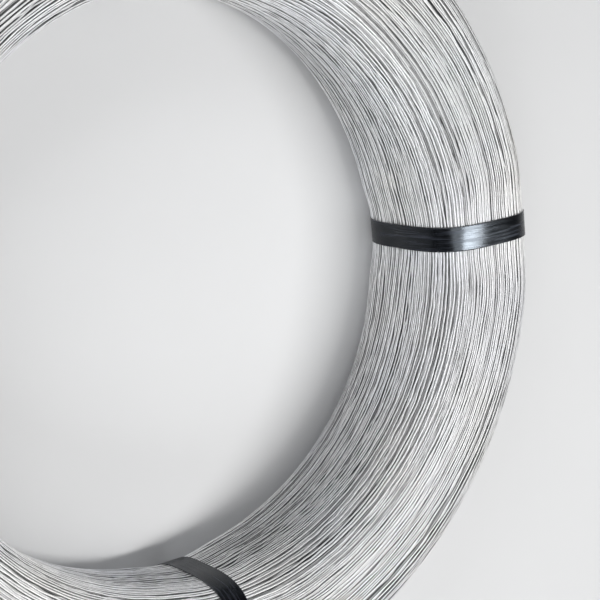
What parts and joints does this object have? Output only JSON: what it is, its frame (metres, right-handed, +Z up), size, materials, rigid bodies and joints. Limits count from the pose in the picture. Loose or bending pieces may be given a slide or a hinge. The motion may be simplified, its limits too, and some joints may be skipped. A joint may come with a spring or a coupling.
{
  "type": "wire coil",
  "caption": "Strapped coil of oil tempered spring wire with a rounded winding and an open bore, lying flat, its turns pinched in under flat steel straps closed by crimped seals.",
  "frame": {"origin": "on the coil's axis, at the level of the face that it lies on", "axes": "+Z up along the coil's axis; +X through the strap that the picture shows; +Y completes the right-handed frame"},
  "size_m": [1.0404, 1.0404, 0.204],
  "materials": {
    "wire": "bright grey drawn and tempered steel wire, thin oil film, darker between the turns",
    "strap": "blued black steel strapping, waxed and glossy, fine lengthwise scratches",
    "seal": "dark steel seal, satin, bright where the crimp bit"
  },
  "bodies": {
    "root": {"wire_coil": "wire", "strap_1": "strap", "strap_2": "strap", "strap_3": "strap", "strap_4": "strap", "seal_1": "seal", "seal_2": "seal", "seal_3": "seal", "seal_4": "seal"}
  },
  "joints": []
}
